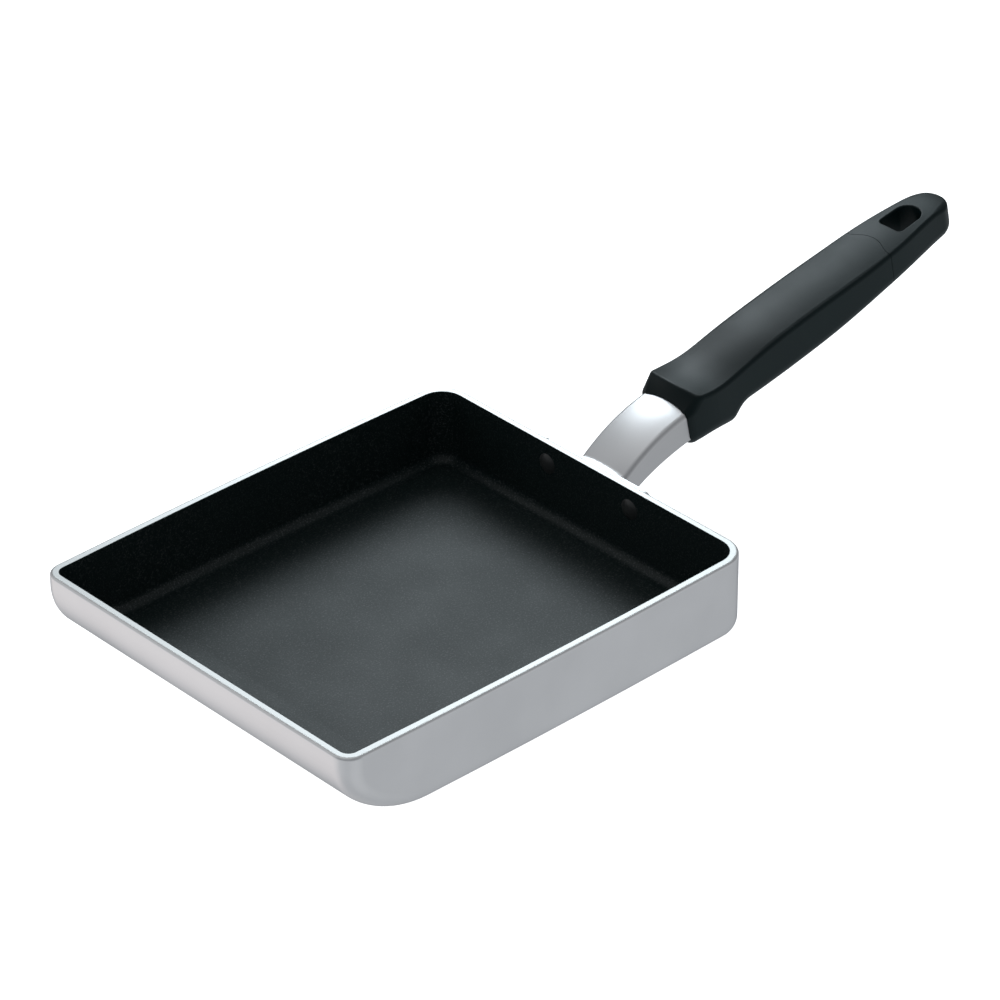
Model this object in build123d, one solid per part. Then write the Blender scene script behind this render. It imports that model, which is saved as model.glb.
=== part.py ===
from build123d import *
from math import acos, asin, atan2, cos, degrees, radians, sin, tan
import os

# Rectangular rolled-omelette pan. Millimetres.
# +X runs from the pan towards the handle, +Z is up, and the origin is the centre of the base's underside.

# Pan
opening_length = 180.0
opening_width = 151.0
pan_height = 32.5
pan_wall = 3.0
coating = 0.2
long_side_bow = 1.15
handle_corner_radius = 12.0
base_edge_radius = 6.9
rim_edge_radius = 1.1

# Curved far wall: upright below the rim, then two arcs that run into the floor
far_upright = 4.7
far_curve_length = 37.0
far_upper_share = 0.755

# Rivets through the handle wall
rivet_spacing = 42.0
rivet_drop = 8.2
rivet_shank_radius = 2.4
rivet_head_radius = 3.9
rivet_head_height = 1.3
rivet_tail_radius = 3.5
rivet_tail_height = 1.6

# Bracket
sheet = 1.6
ear_width = 57.0
ear_height = 16.5
ear_drop = 1.0
ear_corner_radius = 5.0
neck_width = 22.4
neck_crown = 1.3
neck_bend_radius = 2.2
neck_top_radius = 67.8
neck_root_radius = 2.0
neck_foot_angle = 45.0
neck_waist_reach = 12.8
neck_waist_drop = 8.4
tang_length = 24.0

# Handle: place and slope of its axis where the neck enters it
handle_reach = 33.8
handle_rise = 4.2
handle_tilt = 11.75
neck_top = 5.8
neck_underside = 5.3

# Handle moulding
handle_length = 146.8
grip_half_width = 13.0
grip_top = 11.9
grip_underside = 8.2
grip_crown_radius = 72.0
crease_radius = 1.5
front_corner_radius = 3.2
shoulder_radius = 5.0
shoulder_turn = 40.0
underside_radius = 5.6
guard_belly_radius = 40.0
guard_radius = 6.0
guard_hollow_radius = 8.0
tail_radius = 8.2
neck_clearance = 0.2

# Hanging hole: a D with its flat wall towards the grip
hole_end_wall = 12.7
hole_length = 14.6
hole_width = 10.9
hole_corner_radius = 1.8
hole_end_rise = 4.3
hole_end_radius = 3.0
hole_rim_radius = 0.6

# Tail cap: its curved seam, and the spigot that seats it in the grip
cap_wall = 11.6
seam_bulge = 3.2
seam_gap = 0.2
spigot_length = 9.0
spigot_width = 11.2
spigot_height = 8.4
spigot_corner_radius = 1.5
spigot_clearance = 0.15

# Long screw, its washer and its nut
screw_radius = 2.0
screw_bore_clearance = 0.25
screw_head_radius = 3.7
screw_head_height = 2.6
screw_slot_width = 1.0
screw_rise = 0.9
washer_radius = 4.0
washer_thickness = 0.8
nut_width = 7.0
nut_thickness = 3.2
head_pocket_clearance = 0.3

# One overrun serves every cut
overrun = 20.0

wall = pan_wall + coating
half_length = opening_length / 2 + wall
half_width = opening_width / 2 + wall
rim_top = pan_height
wall_face = half_length
far_curve_height = rim_top - far_upright
far_upper_radius = far_upper_share * far_curve_height
hole_start = handle_length - hole_end_wall - hole_length
seam_start = hole_start - cap_wall
spigot_end = seam_start - spigot_length

# Side view of the moulding. Top: heights at even steps from one step before its front to one step
# past its tail, as shares of the grip's top height
top_shares = [
    1.270, 1.140, 0.955, 0.815, 0.849, 0.919, 0.949, 0.954,
    0.949, 0.933, 0.914, 0.909, 0.902, 0.890, 0.845, 0.670, 0.380,
]
# Where the top starts to turn down into its shoulders, at the same steps, as shares of the half width
shoulder_shares = [
    1.10, 1.10, 1.08, 0.98, 0.88, 0.82, 0.80, 0.80,
    0.80, 0.80, 0.80, 0.79, 0.76, 0.70, 0.52, 0.25, 0.10,
]
# Underside: collar and finger guard, as shares of the half width and the depth, then the grip, as
# shares of the length and the depth
guard_shares = [(-1.12923, 1.05), (0.95985, 1.16), (1.78418, 1.45), (2.28105, 0.92)]
underside_shares = [
    (0.30, 1.000),
    (0.43, 1.015),
    (0.55, 0.940),
    (0.66, 0.780),
    (0.77, 0.655),
    (0.88, 0.630),
    (1.10, 0.605),
]
# Plan view of the side: where the collar's flare ends, its place and half width as shares of the
# grip's half width, then place and half width as shares of the grip's length and half width
flare_end_shares = (1.1857, 1.030)
side_shares = [
    (0.170, 0.990),
    (0.250, 0.965),
    (0.400, 0.950),
    (0.550, 0.950),
    (0.680, 0.930),
    (0.800, 0.845),
]
# Front of the collar at the neck and at its crest: place of the corners, place of the middle and
# half width of the corners, as shares of the grip's half width
mouth_shares = (0.06, 0.13, 0.945)
crest_shares = (1.00, 0.58, 1.06)
mouth_height_share = 0.50
crest_height_share = 1.20
side_slope = -0.03
# Seam of the tail cap: place across, and how far it bulges, as shares of the half width and bulge
seam_shares = [(1.60, 0.00), (0.90, 0.03), (0.66, 0.15), (0.46, 0.51), (0.25, 0.86)]
# Half width of the hanging hole where its curved end starts, as a share of its half width
hole_far_share = 0.96


def far_wall_arcs():
    """Centres and lower radius of the two arcs, and the angle where they meet."""
    across = far_curve_length - far_upper_radius
    down = far_upper_radius - far_curve_height
    extra = (across**2 + down**2) / (-2 * down)
    turn = degrees(acos(across / extra))
    upper_centre = (-half_length + far_upper_radius, far_curve_height)
    lower_centre = (-half_length + far_curve_length, far_upper_radius + extra)
    return upper_centre, lower_centre, far_upper_radius + extra, turn


def basin(inset, top):
    """The pan's outer form moved inward by inset, from its floor up to top."""
    reach = half_length - inset
    side = half_width - inset
    outline = make_face([
        ThreePointArc((-reach, side), (0, side + long_side_bow), (reach, side)),
        Line((reach, side), (reach, -side)),
        ThreePointArc((reach, -side), (0, -side - long_side_bow), (-reach, -side)),
        Line((-reach, -side), (-reach, side)),
    ])
    block = Pos(0, 0, inset) * extrude(outline, top - inset)
    uprights = block.edges().filter_by(Axis.Z).sort_by(Axis.X)[-2:]
    block = fillet(uprights, handle_corner_radius - inset)

    upper_centre, lower_centre, lower_radius, turn = far_wall_arcs()
    upper = CenterArc(upper_centre, far_upper_radius - inset, 180, turn)
    lower = CenterArc(lower_centre, lower_radius - inset, 180 + turn, 90 - turn)
    profile = make_face([
        upper,
        lower,
        Line(lower @ 1, (reach + overrun, inset)),
        Line((reach + overrun, inset), (reach + overrun, top)),
        Line((reach + overrun, top), (-reach, top)),
        Line((-reach, top), upper @ 0),
    ])
    block &= extrude(Plane.XZ * profile, side + overrun, both=True)

    rounded = []
    for edge in block.edges():
        middle = edge @ 0.5
        upright = abs((edge % 0.5).Z) > 0.999
        at_side = abs(middle.Y) > side / 2
        at_end = middle.X > reach - inset - base_edge_radius
        if middle.Z > top - inset / 2 - rim_edge_radius and not upright:
            continue
        if upright and middle.X > 0:
            continue
        if at_side or at_end:
            rounded.append(edge)
    return fillet(rounded, base_edge_radius - inset)


def handle_plane():
    """Local frame of the handle: x along its axis, y across, z square to the axis."""
    slope = radians(handle_tilt)
    return Plane(
        origin=(wall_face + handle_reach, 0, rim_top + handle_rise),
        x_dir=(cos(slope), 0, sin(slope)),
        z_dir=(-sin(slope), 0, cos(slope)),
    )


def make_pan():
    shell = basin(0, rim_top) - basin(pan_wall, rim_top + overrun)
    outer_rim = shell.faces().sort_by(Axis.Z)[-1].outer_wire().edges()
    return fillet(outer_rim, rim_edge_radius)


def make_lining():
    return basin(pan_wall, rim_top) - basin(wall, rim_top + overrun)


def rivet_places():
    height = rim_top - rivet_drop
    return [(-rivet_spacing / 2, height), (rivet_spacing / 2, height)]


def rivet(y, z):
    """A domed head inside the pan, a shank through the wall and ear, and a set tail outside."""
    grip_length = wall + sheet
    sphere_radius = (rivet_head_radius**2 + rivet_head_height**2) / (2 * rivet_head_height)
    head_profile = make_face([
        Line((0, 0), (0, rivet_head_height)),
        RadiusArc((0, rivet_head_height), (rivet_head_radius, 0), sphere_radius),
        Line((rivet_head_radius, 0), (0, 0)),
    ])
    head = revolve(Plane.XZ * head_profile, Axis.Z)
    shank = extrude(Circle(rivet_shank_radius), -grip_length)
    tail = Pos(0, 0, -grip_length) * extrude(Circle(rivet_tail_radius), -rivet_tail_height)
    tail = fillet(tail.edges().sort_by(Axis.Z)[0], rivet_tail_height / 2)
    inner_face = Plane(origin=(wall_face - wall, y, z), x_dir=(0, 1, 0), z_dir=(-1, 0, 0))
    return inner_face * (head + shank + tail)


def rivet_holes():
    """Round tools for the holes that the rivets fill."""
    tools = []
    for y, z in rivet_places():
        tool = Plane(origin=(wall_face - wall - overrun, y, z), x_dir=(0, 1, 0), z_dir=(1, 0, 0))
        tools.append(tool * extrude(Circle(rivet_shank_radius), 2 * overrun))
    return tools


def neck_section(inset):
    """Section of the neck down past its lower edge, with zero at the line of its top corners."""
    side = neck_width / 2 - inset
    top = ThreePointArc((-side, -inset), (0, neck_crown - inset), (side, -inset))
    outline = make_face([
        top,
        Line((side, -inset), (side, -2 * overrun)),
        Line((side, -2 * overrun), (-side, -2 * overrun)),
        Line((-side, -2 * overrun), (-side, -inset)),
    ])
    bends = outline.vertices().sort_by(Axis.Y)[-2:]
    return fillet(bends, neck_bend_radius - inset)


def neck_path(straight):
    """Line of the neck's top corners: an arc that rises from the wall, then straight into the grip."""
    slope = radians(handle_tilt)
    arc_end = handle.from_local_coords(Vector(0, 0, neck_top))
    centre_x = arc_end.X + neck_top_radius * sin(slope)
    centre_z = arc_end.Z - neck_top_radius * cos(slope)
    foot = rim_top - ear_drop - ear_height - sheet
    start = degrees(atan2(foot - centre_z, wall_face - centre_x))
    arc = CenterArc((centre_x, centre_z), neck_top_radius, start, handle_tilt + 90 - start)
    end = arc @ 1 + Vector(cos(slope), sin(slope)) * straight
    return Plane.XZ * (Curve() + [arc, Line(arc @ 1, end)])


def neck_sweep(inset, straight):
    """The neck's outer form moved inward by inset, solid below its top."""
    path = neck_path(straight)
    start = path.edges()[0]
    across = Plane(origin=start @ 0, x_dir=(0, 1, 0), z_dir=start % 0)
    return sweep(across * neck_section(inset), path=path.wire())


def below_neck(clearance):
    """Everything lower than clearance under the neck's lower edge."""
    foot = Vector(wall_face, rim_top - ear_drop - ear_height - clearance)
    waist = Vector(wall_face + neck_waist_reach, rim_top - neck_waist_drop - clearance)
    low = -neck_underside - clearance
    mouth = handle.from_local_coords(Vector(0, 0, low))
    tang = handle.from_local_coords(Vector(tang_length + overrun, 0, low))
    rise = radians(neck_foot_angle)
    slope = radians(handle_tilt)
    edge = Spline(
        [foot, waist, (mouth.X, mouth.Z)],
        tangents=[(cos(rise), sin(rise)), (cos(slope), sin(slope))],
    )
    floor = foot.Y - 3 * overrun
    inner = wall_face - overrun
    region = make_face([
        edge,
        Line((mouth.X, mouth.Z), (tang.X, tang.Z)),
        Line((tang.X, tang.Z), (tang.X, floor)),
        Line((tang.X, floor), (inner, floor)),
        Line((inner, floor), (inner, foot.Y)),
        Line((inner, foot.Y), foot),
    ])
    return slab(region, neck_width)


def slab(profile, reach):
    """A side-view profile extruded by reach to each side of the middle."""
    return extrude(Plane.XZ.offset(-reach) * profile, 2 * reach)


def make_bracket():
    ears = Plane(
        origin=(wall_face, 0, rim_top - ear_drop - ear_height / 2),
        x_dir=(0, 1, 0),
        z_dir=(1, 0, 0),
    ) * extrude(RectangleRounded(ear_width, ear_height, ear_corner_radius), sheet)
    behind_wall = Pos(wall_face - overrun, 0, rim_top) * Box(2 * overrun, 2 * neck_width, 8 * overrun)
    bracket = ears + (neck_sweep(0, tang_length) - behind_wall - below_neck(0))
    outer_face = wall_face + sheet
    root = [
        edge
        for edge in bracket.edges()
        if abs((edge @ 0).X - outer_face) + abs((edge @ 1).X - outer_face) < coating
        and abs((edge @ 0.5).Y) < neck_width / 2 + coating
        and not (edge.geom_type == GeomType.LINE and abs((edge % 0.5).Y) > 0.5)
    ]
    bracket = fillet(root, neck_root_radius)
    bracket -= neck_sweep(sheet, tang_length - sheet)
    bracket -= screw_bore()
    for tool in rivet_holes():
        bracket -= tool
    return bracket


def screw_frame():
    """Frame on the flat wall of the hanging hole, z along the screw and out of its head."""
    seat = handle.from_local_coords(Vector(hole_start, 0, screw_rise))
    return Plane(origin=seat, x_dir=(0, 1, 0), z_dir=handle.x_dir)


def screw_reach():
    """From the flat wall of the hanging hole to the tip of the screw, flush with the nut."""
    return hole_start - tang_length + sheet + nut_thickness


def screw_bore():
    return screw_frame() * extrude(Circle(screw_radius + screw_bore_clearance), -screw_reach())


def head_pocket():
    """Recess in the flat wall of the hanging hole for the screw's head and washer."""
    depth = screw_head_height + washer_thickness
    tool = Circle(washer_radius + head_pocket_clearance)
    return screw_frame() * (Pos(0, 0, -depth) * extrude(tool, depth + screw_head_radius))


def make_screw():
    shank = Pos(0, 0, -screw_reach()) * extrude(
        Circle(screw_radius), screw_reach() - screw_head_height
    )
    head = Pos(0, 0, -screw_head_height) * extrude(Circle(screw_head_radius), screw_head_height)
    head = fillet(head.edges().sort_by(Axis.Z)[-1], screw_head_height / 3)
    for turn in (0, 90):
        head -= Rot(0, 0, turn) * Box(screw_slot_width, screw_head_radius, screw_head_height)
    return screw_frame() * (shank + head)


def make_washer():
    ring = Circle(washer_radius) - Circle(screw_radius)
    seat = -screw_head_height - washer_thickness
    return screw_frame() * (Pos(0, 0, seat) * extrude(ring, washer_thickness))


def make_nut():
    blank = RectangleRounded(nut_width, nut_width, nut_width / 12) - Circle(screw_radius)
    return screw_frame() * (Pos(0, 0, -screw_reach()) * extrude(blank, nut_thickness))


def moulding_plan(front, middle, corner):
    """Plan outline of the moulding with the given front."""
    flare_end = (flare_end_shares[0] * grip_half_width, flare_end_shares[1] * grip_half_width)
    side_points = [flare_end] + [
        (x * handle_length, y * grip_half_width) for x, y in side_shares
    ]
    tail_turn = radians(6)
    tail_start = (
        handle_length - tail_radius + tail_radius * sin(tail_turn),
        tail_radius * cos(tail_turn),
    )
    side = Spline(
        side_points + [tail_start],
        tangents=[(1, side_slope), (cos(tail_turn), -sin(tail_turn))],
    )
    tail = ThreePointArc(tail_start, (handle_length, 0), (tail_start[0], -tail_start[1]))
    front_corner = (front * grip_half_width, corner * grip_half_width)
    flare = TangentArc(flare_end, front_corner, tangent=(-1, -side_slope))
    nose = ThreePointArc(
        (front_corner[0], -front_corner[1]), (middle * grip_half_width, 0), front_corner
    )
    return make_face([
        nose, flare, side, tail, mirror(side, Plane.XZ), mirror(flare, Plane.XZ),
    ])


def moulding_blank():
    """Upright walls of the moulding, with the collar's front leaning back to its crest."""
    mouth = moulding_plan(*mouth_shares)
    crest = moulding_plan(*crest_shares)
    mouth_height = mouth_height_share * grip_top
    crest_height = crest_height_share * grip_top
    depth = 2 * grip_underside
    lower = Pos(0, 0, -depth) * extrude(mouth, depth + mouth_height)
    upper = loft([Pos(0, 0, mouth_height) * mouth, Pos(0, 0, crest_height) * crest], ruled=True)
    return lower + upper


def top_section(height, shoulder):
    """Section of everything under the crowned top, whose shoulders start at the given place."""
    reach = 2 * grip_half_width
    floor = -4 * grip_underside
    lean = asin(shoulder / grip_crown_radius)
    steep = lean + radians(shoulder_turn)
    side = shoulder - shoulder_radius * sin(lean) + shoulder_radius * sin(steep)
    start = height - grip_crown_radius * (1 - cos(lean))
    end = start - shoulder_radius * (cos(lean) - cos(steep))
    foot = end - (reach - side) * tan(steep)
    return make_face([
        ThreePointArc((-shoulder, start), (0, height), (shoulder, start)),
        TangentArc((shoulder, start), (side, end), tangent=(cos(lean), -sin(lean))),
        Line((side, end), (reach, foot)),
        Line((reach, foot), (reach, floor)),
        Line((reach, floor), (-reach, floor)),
        Line((-reach, floor), (-reach, foot)),
        Line((-reach, foot), (-side, end)),
        TangentArc((-shoulder, start), (-side, end), tangent=(-cos(lean), -sin(lean))),
    ])


def moulding_top():
    """Everything under the crowned top surface and its shoulders, far wider than the moulding."""
    step = handle_length / (len(top_shares) - 3)
    sections = []
    for i, (share, shoulder) in enumerate(zip(top_shares, shoulder_shares)):
        station = Plane(origin=((i - 1) * step, 0, 0), x_dir=(0, 1, 0), z_dir=(1, 0, 0))
        sections.append(station * top_section(share * grip_top, shoulder * grip_half_width))
    return loft(sections)


def moulding_underside():
    """Everything above the underside: the collar's finger guard, a hollow and the grip."""
    front, belly, heel, hollow = [
        (x * grip_half_width, -y * grip_underside) for x, y in guard_shares
    ]
    grip = [(x * handle_length, -y * grip_underside) for x, y in underside_shares]
    end = grip[-1][0]
    roof = 4 * grip_top
    profile = make_face([
        Line(front, belly),
        Line(belly, heel),
        Line(heel, hollow),
        Spline([hollow] + grip),
        Line(grip[-1], (end, roof)),
        Line((end, roof), (front[0], roof)),
        Line((front[0], roof), front),
    ])
    block = slab(profile, 2 * grip_half_width)
    radii = (guard_belly_radius, guard_radius, guard_hollow_radius)
    for (x, z), radius in zip((belly, heel, hollow), radii):
        block = fillet(block.edges().sort_by_distance(Vector(x, 0, z))[0], radius)
    return block


def moulding():
    """The whole moulding before it is parted: underside, front corners and crease are rounded."""
    solid = moulding_blank() & moulding_top() & moulding_underside()
    collar_front = mouth_shares[1] * grip_half_width
    low = [
        edge
        for edge in solid.edges()
        if edge.geom_type != GeomType.LINE
        and (edge @ 0.5).Z < -screw_rise
        and (edge @ 0.5).X > collar_front + coating
    ]
    solid = fillet(low, underside_radius)
    corners = [
        edge
        for edge in solid.edges()
        if (edge @ 0.5).Z > 0
        and abs((edge % 0.5).Z) > 0.5
        and min((edge @ 0).X, (edge @ 1).X) < collar_front
    ]
    solid = fillet(corners, front_corner_radius)
    crease = solid.faces().sort_by(Axis.Z)[-1].outer_wire().edges()
    return fillet(crease, crease_radius)


def seam_tool(gap):
    """Everything past the curved seam, moved towards the tail by gap."""
    points = [
        (seam_start + gap + bulge * seam_bulge, y * grip_half_width) for y, bulge in seam_shares
    ]
    mirrored = [(x, -y) for x, y in reversed(points)]
    crown = (seam_start + gap + seam_bulge, 0)
    seam = Spline(points + [crown] + mirrored, tangents=[(0, -1), (0, -1)])
    end = handle_length + overrun
    region = make_face([
        seam,
        Line(seam @ 1, (end, (seam @ 1).Y)),
        Line((end, (seam @ 1).Y), (end, (seam @ 0).Y)),
        Line((end, (seam @ 0).Y), seam @ 0),
    ])
    return Pos(0, 0, -2 * overrun) * extrude(region, 4 * overrun)


def spigot(clearance):
    """Spigot of the tail cap, or with a clearance the socket that it seats in."""
    width = spigot_width + 2 * clearance
    height = spigot_height + 2 * clearance
    section = RectangleRounded(width, height, spigot_corner_radius + clearance)
    end = Plane(origin=(spigot_end, 0, screw_rise), x_dir=(0, 1, 0), z_dir=(1, 0, 0))
    return end * extrude(section, spigot_length + cap_wall / 2)


def hanging_hole():
    """The D-shaped hole through the tail cap."""
    flat = hole_width / 2
    side = hole_far_share * flat
    end = hole_start + hole_length
    turn = end - hole_end_rise
    outline = make_face([
        Line((hole_start, -flat), (hole_start, flat)),
        Line((hole_start, flat), (turn, side)),
        ThreePointArc((turn, side), (end, 0), (turn, -side)),
        Line((turn, -side), (hole_start, -flat)),
    ])
    outline = fillet(outline.vertices().sort_by(Axis.X)[2:], hole_end_radius)
    outline = fillet(outline.vertices().sort_by(Axis.X)[:2], hole_corner_radius)
    return Pos(0, 0, -2 * overrun) * extrude(outline, 4 * overrun)


def make_grip(whole):
    grip = whole - seam_tool(0) - spigot(spigot_clearance)
    grip = handle * grip
    grip -= neck_sweep(-neck_clearance, tang_length + neck_clearance) - below_neck(neck_clearance)
    return grip - screw_bore()


def make_cap(whole):
    cap = (whole & seam_tool(seam_gap)) + spigot(0)
    hole = hanging_hole()
    cap -= hole
    mouths = [
        edge
        for face in cap.faces()
        if abs(face.normal_at().Z) > 0.8
        for wire in face.inner_wires()
        for edge in wire.edges()
    ]
    cap = fillet(mouths, hole_rim_radius)
    return handle * cap - screw_bore() - head_pocket()


handle = handle_plane()
whole_moulding = moulding()
pan_body = make_pan()
nonstick_lining = make_lining()
for tool in rivet_holes():
    pan_body -= tool
    nonstick_lining -= tool
rivet_right, rivet_left = [rivet(y, z) for y, z in rivet_places()]

parts = {
    "pan_body": pan_body,
    "nonstick_lining": nonstick_lining,
    "handle_bracket": make_bracket(),
    "rivet_left": rivet_left,
    "rivet_right": rivet_right,
    "handle_grip": make_grip(whole_moulding),
    "tail_cap": make_cap(whole_moulding),
    "handle_screw": make_screw(),
    "screw_washer": make_washer(),
    "bracket_nut": make_nut(),
}

os.makedirs("parts", exist_ok=True)
for name, part in parts.items():
    export_step(part, f"parts/{name}.step")
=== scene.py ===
from math import cos, radians, sin

import bpy
from mathutils import Matrix, Vector


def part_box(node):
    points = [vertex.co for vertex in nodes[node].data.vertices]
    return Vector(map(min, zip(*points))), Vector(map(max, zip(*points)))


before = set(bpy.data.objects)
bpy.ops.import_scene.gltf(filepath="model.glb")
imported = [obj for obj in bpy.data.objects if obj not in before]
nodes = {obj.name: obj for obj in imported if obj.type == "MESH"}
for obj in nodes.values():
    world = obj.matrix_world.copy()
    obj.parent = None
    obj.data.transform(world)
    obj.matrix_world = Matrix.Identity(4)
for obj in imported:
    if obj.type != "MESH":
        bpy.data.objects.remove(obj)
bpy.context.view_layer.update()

MM = 0.001

# Camera of the photograph: degrees, metres in the row frame, and a lens in millimetres
photo_heading = 42.8
photo_elevation = 32.108
photo_roll = 0.2
photo_distance = 1.79454
photo_target = (0.03319, -0.01563, 0.05015)
photo_lens = 188.39

# Studio: the world's base light, then its softboxes as (direction, inner angle, outer angle,
# colour, strength), where a strength below zero is a black flag that dims the base light, then
# small lamps near the pan as (name, place, aim, size, watts, colour)
sky_colour = (0.95, 0.99, 1.03)
sky_strength = 0.26
ground_strength = 0.46
cool = (0.94, 0.98, 1.03)
teal = (0.84, 1.0, 1.06)
neutral = (1.0, 1.0, 1.0)
warm = (1.14, 1.0, 0.96)
softboxes = [
    ((0.00, 0.10, 1.00), 6, 36, neutral, 0.34),
    ((-0.05, 0.38, 0.92), 4, 20, neutral, 0.08),
    ((-0.18, 0.69, 0.70), 6, 36, neutral, 0.14),
    ((-0.65, -0.20, 0.73), 6, 36, cool, 0.06),
    ((0.72, 0.61, 0.32), 4, 30, neutral, 0.10),
    ((-0.60, 0.70, 0.35), 6, 36, neutral, 0.20),
    ((-0.85, 0.50, -0.05), 6, 36, neutral, 0.11),
    ((-0.37, 0.89, -0.25), 6, 36, warm, 0.19),
    ((-0.55, 0.58, -0.60), 6, 36, warm, 0.22),
    ((-0.90, 0.10, -0.40), 6, 36, neutral, 0.09),
    ((0.00, -0.75, -0.66), 6, 36, neutral, 0.11),
    ((-0.67, -0.52, -0.52), 6, 36, neutral, 0.05),
    ((-0.10, 0.40, -0.90), 6, 36, warm, 0.06),
    ((0.62, -0.77, 0.15), 6, 30, neutral, 0.22),
    ((0.64, 0.66, -0.40), 8, 42, neutral, -0.32),
]
lamps = [
    ("floor_lamp", (0.31, 0.31, 0.37), (-0.075, -0.095, 0.004), 0.22, 0.42, cool),
    ("handle_lamp", (0.55, 0.49, 0.56), (0.19, 0.0, 0.065), 0.40, 1.45, teal),
]
floor_reach = 30.0
floor_colour = (0.86, 0.86, 0.86)
floor_glow = 0.93


class Tree:
    """Adds nodes to one node tree, each in one call."""

    def __init__(self, tree):
        self.tree = tree

    def node(self, kind, outputs=0, settings=None, **inputs):
        made = self.tree.nodes.new(kind)
        for name, value in (settings or {}).items():
            setattr(made, name, value)
        for name, value in inputs.items():
            key = int(name[1:]) if name[0] == "i" and name[1:].isdigit() else name.replace("_", " ")
            socket = made.inputs[key]
            if isinstance(value, bpy.types.NodeSocket):
                self.tree.links.new(value, socket)
            else:
                socket.default_value = value
        return made.outputs[outputs]

    def math(self, operation, a, b=0.0):
        return self.node("ShaderNodeMath", settings={"operation": operation}, i0=a, i1=b)

    def vector(self, operation, a, b, outputs=0):
        return self.node(
            "ShaderNodeVectorMath", outputs, settings={"operation": operation}, i0=a, i1=b
        )

    def ramp(self, value, low, high, to_low=0.0, to_high=1.0, smooth=True):
        kind = "SMOOTHSTEP" if smooth else "LINEAR"
        return self.node(
            "ShaderNodeMapRange",
            settings={"interpolation_type": kind},
            Value=value, From_Min=low, From_Max=high, To_Min=to_low, To_Max=to_high,
        )

    def mix(self, share, a, b):
        made = self.tree.nodes.new("ShaderNodeMix")
        made.data_type = "RGBA"
        for key, value in ((0, share), (6, a), (7, b)):
            if isinstance(value, bpy.types.NodeSocket):
                self.tree.links.new(value, made.inputs[key])
            else:
                made.inputs[key].default_value = value
        return made.outputs[2]

    def noise(self, where, scale, detail=2.0, roughness=0.5):
        return self.node(
            "ShaderNodeTexNoise", Vector=where, Scale=scale, Detail=detail, Roughness=roughness
        )


def new_material(name):
    made = bpy.data.materials.new(name)
    made.use_nodes = True
    shader = made.node_tree.nodes["Principled BSDF"]
    return made, Tree(made.node_tree), shader


def set_inputs(tree, shader, **inputs):
    for name, value in inputs.items():
        socket = shader.inputs[name.replace("_", " ")]
        if isinstance(value, bpy.types.NodeSocket):
            tree.tree.links.new(value, socket)
        else:
            socket.default_value = value


def dress(material, *names):
    for name in names:
        slots = nodes[name].data.materials
        slots.clear()
        slots.append(material)


def pan_metal():
    """Satin aluminium with faint rolling marks, and a bright ground rim."""
    made, tree, shader = new_material("pan_metal_satin")
    place = tree.node("ShaderNodeNewGeometry")
    normal = tree.node("ShaderNodeNewGeometry", "Normal")
    height = tree.node("ShaderNodeSeparateXYZ", 2, Vector=place)
    upward = tree.node("ShaderNodeSeparateXYZ", 2, Vector=normal)
    rim = tree.math(
        "MULTIPLY",
        tree.ramp(height, rim_top - 0.9 * MM, rim_top - 0.5 * MM),
        tree.ramp(upward, 0.80, 0.97),
    )
    drawn = tree.vector("MULTIPLY", place, (60.0, 60.0, 1400.0))
    lines = tree.noise(drawn, 1.0, 3.0)
    clouds = tree.noise(place, 26.0, 3.0)
    satin = tree.ramp(clouds, 0.3, 0.7, 0.34, 0.40)
    roughness = tree.node(
        "ShaderNodeMix", settings={"data_type": "FLOAT"}, i0=rim, i2=satin, i3=0.52
    )
    tint = tree.mix(tree.ramp(clouds, 0.3, 0.7), (0.83, 0.83, 0.84, 1), (0.89, 0.89, 0.90, 1))
    colour = tree.mix(rim, tint, (0.66, 0.66, 0.655, 1))
    bump = tree.node("ShaderNodeBump", Strength=0.06, Distance=0.05 * MM, Height=lines)
    set_inputs(tree, shader, Base_Color=colour, Metallic=1.0, Roughness=roughness, Normal=bump)
    return made


def coating():
    """Black non-stick coating: satin, with a fine orange peel and lighter specks."""
    made, tree, shader = new_material("nonstick_black")
    place = tree.node("ShaderNodeNewGeometry")
    peel = tree.noise(place, 800.0, 2.0)
    speck = tree.noise(place, 1500.0, 2.0, 0.7)
    clouds = tree.noise(place, 35.0, 2.0)
    colour = tree.mix(tree.ramp(speck, 0.50, 0.72), (0.002, 0.009, 0.009, 1), (0.055, 0.064, 0.064, 1))
    roughness = tree.ramp(clouds, 0.3, 0.7, 0.46, 0.49)
    bump = tree.node("ShaderNodeBump", Strength=0.35, Distance=0.05 * MM, Height=peel)
    set_inputs(tree, shader, Base_Color=colour, Roughness=roughness, IOR=1.38, Normal=bump)
    return made


def bracket_steel():
    """Polished steel sheet with faint marks along the neck."""
    made, tree, shader = new_material("bracket_steel_polished")
    place = tree.node("ShaderNodeNewGeometry")
    marks = tree.noise(tree.vector("MULTIPLY", place, (120.0, 900.0, 120.0)), 1.0, 2.0)
    clouds = tree.noise(place, 40.0, 2.0)
    bump = tree.node("ShaderNodeBump", Strength=0.05, Distance=0.03 * MM, Height=marks)
    set_inputs(
        tree, shader,
        Base_Color=tree.mix(clouds, (0.66, 0.66, 0.67, 1), (0.72, 0.72, 0.725, 1)),
        Metallic=1.0, Roughness=tree.ramp(clouds, 0.3, 0.7, 0.40, 0.44), Normal=bump,
    )
    return made


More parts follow.
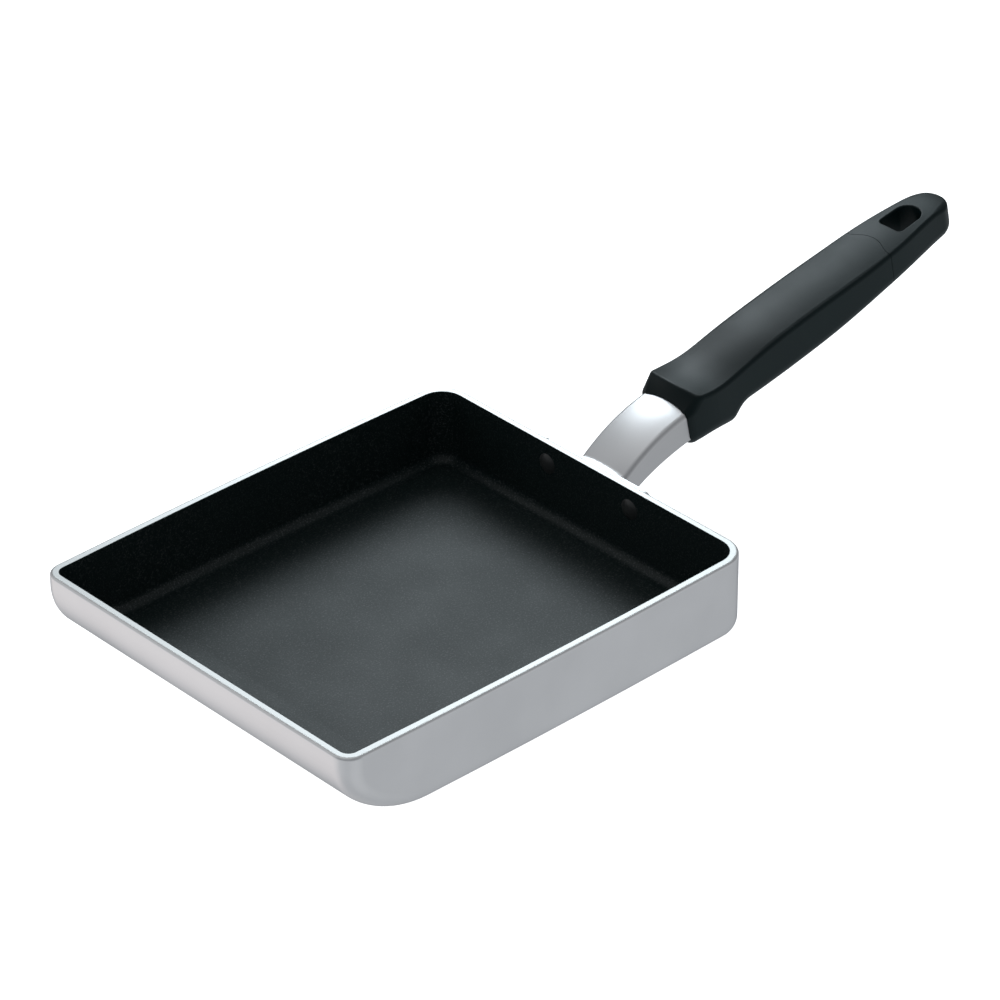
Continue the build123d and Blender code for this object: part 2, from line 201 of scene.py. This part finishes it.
def handle_plastic():
    """Black thermoset moulding with a fine satin grain."""
    made, tree, shader = new_material("handle_black_satin")
    place = tree.node("ShaderNodeNewGeometry")
    grain = tree.noise(place, 1500.0, 3.0)
    clouds = tree.noise(place, 60.0, 3.0)
    bump = tree.node("ShaderNodeBump", Strength=0.3, Distance=0.04 * MM, Height=grain)
    set_inputs(
        tree, shader,
        Base_Color=tree.mix(clouds, (0.001, 0.006, 0.007, 1), (0.002, 0.009, 0.010, 1)),
        Roughness=tree.ramp(clouds, 0.3, 0.7, 0.34, 0.40), IOR=1.27, Normal=bump,
    )
    return made


def rivet_metal():
    """Rivet heads carry the coating's colour, worn a little lighter."""
    made, tree, shader = new_material("rivet_coated")
    place = tree.node("ShaderNodeNewGeometry")
    clouds = tree.noise(place, 400.0, 2.0)
    bump = tree.node("ShaderNodeBump", Strength=0.2, Distance=0.03 * MM, Height=clouds)
    set_inputs(
        tree, shader,
        Base_Color=tree.mix(clouds, (0.02, 0.022, 0.022, 1), (0.035, 0.038, 0.038, 1)),
        Roughness=0.36, IOR=1.5, Normal=bump,
    )
    return made


def screw_steel():
    """Zinc-plated steel, slightly clouded."""
    made, tree, shader = new_material("zinc_plate")
    place = tree.node("ShaderNodeNewGeometry")
    clouds = tree.noise(place, 500.0, 2.0)
    set_inputs(
        tree, shader,
        Base_Color=tree.mix(clouds, (0.55, 0.55, 0.53, 1), (0.66, 0.66, 0.64, 1)),
        Metallic=1.0, Roughness=tree.ramp(clouds, 0.3, 0.7, 0.26, 0.36),
    )
    return made


def make_camera():
    heading, rise, roll = radians(photo_heading), radians(photo_elevation), radians(photo_roll)
    forward = Vector((sin(heading) * cos(rise), cos(heading) * cos(rise), -sin(rise)))
    right = Vector((cos(heading), -sin(heading), 0.0))
    up = right.cross(forward)
    rolled_right = cos(roll) * right - sin(roll) * up
    rolled_up = sin(roll) * right + cos(roll) * up
    made = bpy.data.objects.new("camera", bpy.data.cameras.new("camera"))
    made.data.lens = photo_lens
    made.data.clip_end = 60.0
    turn = Matrix((rolled_right, rolled_up, -forward)).transposed().to_4x4()
    place = Vector(photo_target) - photo_distance * forward
    made.matrix_world = Matrix.Translation(place) @ turn
    bpy.context.scene.collection.objects.link(made)
    bpy.context.scene.camera = made


def make_studio():
    world = bpy.data.worlds.new("studio")
    world.use_nodes = True
    bpy.context.scene.world = world
    tree = Tree(world.node_tree)
    towards = tree.node("ShaderNodeTexCoord", "Generated")
    height = tree.node("ShaderNodeSeparateXYZ", 2, Vector=towards)
    base = tree.ramp(height, -0.12, 0.05, ground_strength, sky_strength)
    total = tree.vector("SCALE", (*sky_colour,), (0.0, 0.0, 0.0))
    total.node.inputs["Scale"].default_value = 1.0
    world.node_tree.links.new(base, total.node.inputs["Scale"])
    for centre, inner, outer, colour, strength in softboxes:
        aim = tree.vector("DOT_PRODUCT", towards, Vector(centre).normalized(), "Value")
        glow = tree.ramp(aim, cos(radians(outer)), cos(radians(inner)), 0.0, strength)
        light = tree.vector("SCALE", (*colour,), (0.0, 0.0, 0.0))
        world.node_tree.links.new(glow, light.node.inputs["Scale"])
        total = tree.vector("ADD", total, light)
    background = world.node_tree.nodes["Background"]
    world.node_tree.links.new(total, background.inputs["Color"])

    for name, place, aim, size, power, colour in lamps:
        lamp = bpy.data.lights.new(name, "AREA")
        lamp.size = size
        lamp.energy = power
        lamp.color = colour
        made = bpy.data.objects.new(name, lamp)
        made.location = place
        made.rotation_euler = (Vector(aim) - Vector(place)).to_track_quat("-Z", "Y").to_euler()
        made.visible_camera = False
        bpy.context.scene.collection.objects.link(made)


def make_floor():
    mesh = bpy.data.meshes.new("floor")
    half = floor_reach / 2
    corners = [(-half, -half, 0), (half, -half, 0), (half, half, 0), (-half, half, 0)]
    mesh.from_pydata(corners, [], [(0, 1, 2, 3)])
    made = bpy.data.objects.new("floor", mesh)
    material, tree, shader = new_material("pale_floor")
    set_inputs(
        tree, shader,
        Base_Color=(*floor_colour, 1), Roughness=0.9, Specular_IOR_Level=0.0,
        Emission_Color=(1, 1, 1, 1), Emission_Strength=floor_glow,
    )
    mesh.materials.append(material)
    made.visible_glossy = False
    bpy.context.scene.collection.objects.link(made)


rim_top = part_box("pan_body")[1].z

dress(pan_metal(), "pan_body")
dress(coating(), "nonstick_lining")
dress(bracket_steel(), "handle_bracket")
dress(handle_plastic(), "handle_grip", "tail_cap")
dress(rivet_metal(), "rivet_left", "rivet_right")
dress(screw_steel(), "handle_screw", "screw_washer", "bracket_nut")
make_camera()
make_studio()
make_floor()
bpy.context.scene.view_settings.view_transform = "Standard"
